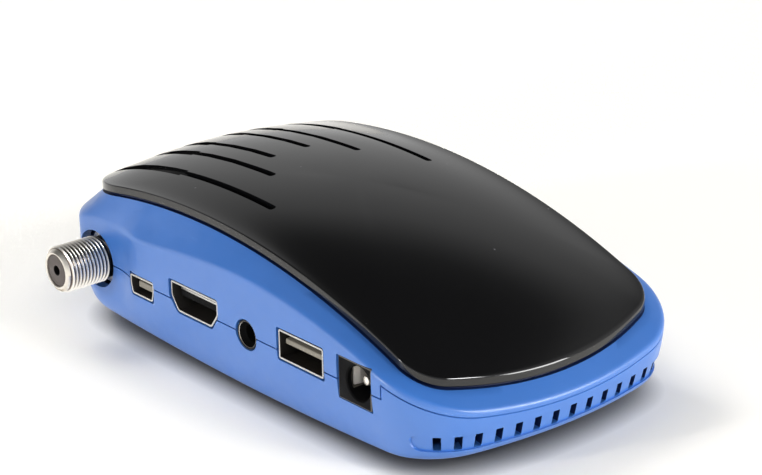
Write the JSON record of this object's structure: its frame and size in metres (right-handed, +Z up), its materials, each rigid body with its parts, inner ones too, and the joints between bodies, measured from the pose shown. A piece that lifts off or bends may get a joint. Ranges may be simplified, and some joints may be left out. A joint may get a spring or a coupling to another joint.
{
  "type": "satellite tv receiver",
  "caption": "Palm-sized satellite receiver: moulded case in an upper and a lower shell, glossy domed cover with air slots, and a row of sockets along its long side.",
  "frame": {"origin": "middle of the footprint, aerial socket included, on the surface that the feet stand on", "axes": "+Z up, +X towards the vented end, -Y towards the side with the sockets"},
  "size_m": [0.1216, 0.0742, 0.0357],
  "materials": {
    "blue_shell": "fine-textured satin, moulded in colour",
    "black_gloss": "high gloss black",
    "foot_rubber": "matte",
    "steel": "plated, bright",
    "board_green": "solder resist over fibreglass",
    "nickel": "nickel plated brass",
    "white_plastic": "satin",
    "gold_contact": "gold flash over bronze",
    "tinned_sheet": "tinned, dull",
    "black_plastic": "satin",
    "grey_plastic": "satin",
    "pad_rubber": "soft silicone",
    "sink_aluminium": "black anodised",
    "capacitor_can": "bare can"
  },
  "bodies": {
    "receiver": {"lower_shell": "blue_shell", "upper_shell": "blue_shell", "top_cover": "black_gloss", "foot_1": "foot_rubber", "foot_2": "foot_rubber", "foot_3": "foot_rubber", "foot_4": "foot_rubber", "case_screw_1": "steel", "case_screw_2": "steel", "case_screw_3": "steel", "case_screw_4": "steel", "main_board": "board_green", "board_screw_1": "steel", "board_screw_2": "steel", "f_connector_body": "nickel", "f_connector_insulator": "grey_plastic", "f_connector_contact": "gold_contact", "tuner_frame": "tinned_sheet", "tuner_lid": "tinned_sheet", "mini_usb_shell": "steel", "mini_usb_tongue": "white_plastic", "hdmi_shell": "steel", "hdmi_tongue": "black_plastic", "av_jack_housing": "black_plastic", "av_sleeve_contact": "nickel", "usb_shell": "steel", "usb_tongue": "white_plastic", "dc_jack_housing": "grey_plastic", "dc_centre_pin": "nickel", "main_processor": "black_plastic", "thermal_pad": "pad_rubber", "heat_sink": "sink_aluminium", "memory_chip": "black_plastic", "flash_chip": "black_plastic", "crystal": "steel", "core_regulator": "black_plastic", "aerial_regulator": "black_plastic", "power_inductor": "black_plastic", "aerial_inductor": "black_plastic", "capacitor_1": "capacitor_can", "capacitor_2": "capacitor_can", "capacitor_3": "capacitor_can"},
    "power_leaf": {"dc_leaf_spring": "nickel"},
    "av_tip_leaf": {"av_tip_spring": "nickel"},
    "av_ring_leaf": {"av_ring_spring": "nickel"},
    "usb_strip_1": {"usb_contact_1": "gold_contact"},
    "usb_strip_2": {"usb_contact_2": "gold_contact"},
    "usb_strip_3": {"usb_contact_3": "gold_contact"},
    "usb_strip_4": {"usb_contact_4": "gold_contact"}
  },
  "joints": [
    {"name": "power_leaf_flex", "type": "hinge", "parent": "receiver", "child": "power_leaf", "pos_m": [0.03623, -0.01735, 0.0158], "axis": [0, 0, -1], "range_deg": [0, 5], "stiffness_Nm_per_rad": 0.05},
    {"name": "av_tip_flex", "type": "hinge", "parent": "receiver", "child": "av_tip_leaf", "pos_m": [0.00382, -0.01605, 0.0145], "axis": [0, 0, -1], "range_deg": [0, 5], "stiffness_Nm_per_rad": 0.02},
    {"name": "av_ring_flex", "type": "hinge", "parent": "receiver", "child": "av_ring_leaf", "pos_m": [0.00997, -0.01885, 0.0145], "axis": [0, 0, 1], "range_deg": [0, 5], "stiffness_Nm_per_rad": 0.02},
    {"name": "usb_flex_1", "type": "hinge", "parent": "receiver", "child": "usb_strip_1", "pos_m": [0.0184, -0.01905, 0.01607], "axis": [-1, 0, 0], "range_deg": [0, 1.2], "stiffness_Nm_per_rad": 0.02},
    {"name": "usb_flex_2", "type": "hinge", "parent": "receiver", "child": "usb_strip_2", "pos_m": [0.02147, -0.01905, 0.01607], "axis": [-1, 0, 0], "range_deg": [0, 1.2], "stiffness_Nm_per_rad": 0.02},
    {"name": "usb_flex_3", "type": "hinge", "parent": "receiver", "child": "usb_strip_3", "pos_m": [0.02453, -0.01905, 0.01607], "axis": [-1, 0, 0], "range_deg": [0, 1.2], "stiffness_Nm_per_rad": 0.02},
    {"name": "usb_flex_4", "type": "hinge", "parent": "receiver", "child": "usb_strip_4", "pos_m": [0.0276, -0.01905, 0.01607], "axis": [-1, 0, 0], "range_deg": [0, 1.2], "stiffness_Nm_per_rad": 0.02}
  ],
  "couplings": [
    {"joint": "usb_flex_2", "follows": "usb_flex_1", "ratio": 1},
    {"joint": "usb_flex_3", "follows": "usb_flex_1", "ratio": 1},
    {"joint": "usb_flex_4", "follows": "usb_flex_1", "ratio": 1}
  ]
}
